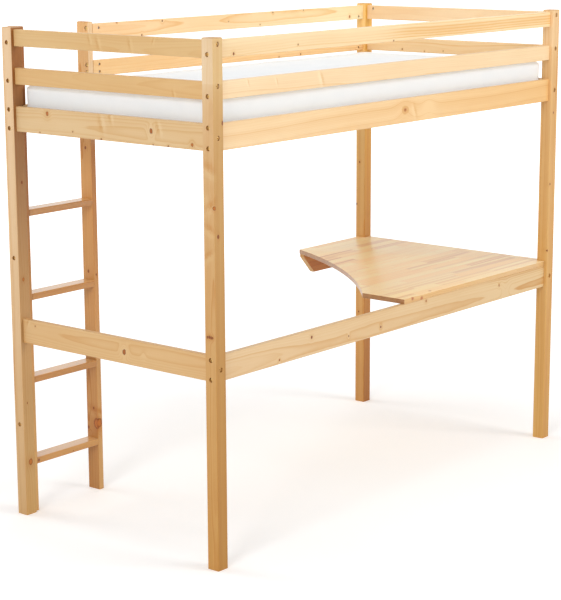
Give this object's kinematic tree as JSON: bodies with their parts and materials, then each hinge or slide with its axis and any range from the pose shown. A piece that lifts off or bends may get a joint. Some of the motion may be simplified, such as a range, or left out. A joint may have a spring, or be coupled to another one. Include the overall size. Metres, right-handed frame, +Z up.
{
  "type": "cabin bed with ladder and desk top",
  "caption": "Raised single bed of square posts and bolted rails, with guard rails, a mattress, an end ladder and a hollow-edged corner desk top beneath.",
  "frame": {"origin": "on the floor, in the middle of the footprint of the whole bed with its ladder", "axes": "+X along the long side towards the end with the desk, +Y towards the side with the ladder, +Z up"},
  "size_m": [2.08, 1.003, 1.765],
  "materials": {
    "pine_uprights": "clear satin varnish",
    "pine_rails": "clear satin varnish",
    "pine_desk": "clear satin varnish",
    "pine_base": "planed, unvarnished",
    "mattress_cover": "plain woven ticking",
    "zinc_steel": "yellow zinc plated"
  },
  "bodies": {
    "frame": {"post_front_left": "pine_uprights", "post_front_right": "pine_uprights", "post_rear_left": "pine_uprights", "post_rear_right": "pine_uprights", "ladder_stile_left": "pine_uprights", "ladder_stile_right": "pine_uprights", "ladder_rung_1": "pine_uprights", "ladder_rung_2": "pine_uprights", "ladder_rung_3": "pine_uprights", "ladder_rung_4": "pine_uprights", "left_top_guard": "pine_rails", "left_low_guard": "pine_rails", "left_end_board": "pine_rails", "left_cross_rail": "pine_rails", "right_top_guard": "pine_rails", "right_low_guard": "pine_rails", "right_end_board": "pine_rails", "right_cross_rail": "pine_rails", "front_top_guard": "pine_rails", "front_low_guard": "pine_rails", "front_side_board": "pine_rails", "front_cross_rail": "pine_rails", "rear_top_guard": "pine_rails", "rear_low_guard": "pine_rails", "rear_side_board": "pine_rails", "desk_rear_rail": "pine_rails", "desk_top": "pine_desk", "slat_ledger_front": "pine_base", "slat_ledger_rear": "pine_base", "slat_1": "pine_base", "slat_2": "pine_base", "slat_3": "pine_base", "slat_4": "pine_base", "slat_5": "pine_base", "slat_6": "pine_base", "slat_7": "pine_base", "slat_8": "pine_base", "slat_9": "pine_base", "slat_10": "pine_base", "slat_11": "pine_base", "slat_12": "pine_base", "slat_13": "pine_base", "slat_14": "pine_base", "slat_15": "pine_base", "bolts_front_left": "zinc_steel", "bolts_front_right": "zinc_steel", "bolts_rear_left": "zinc_steel", "bolts_rear_right": "zinc_steel", "nuts_front_left": "zinc_steel", "nuts_front_right": "zinc_steel", "nuts_rear_left": "zinc_steel", "nuts_rear_right": "zinc_steel", "ladder_bolts": "zinc_steel", "ladder_nuts": "zinc_steel"},
    "mattress": {"mattress": "mattress_cover"}
  },
  "joints": [
    {"name": "mattress_lift", "type": "slide", "parent": "frame", "child": "mattress", "axis": [0, 0, 1], "range_m": [0, 0.35]}
  ]
}
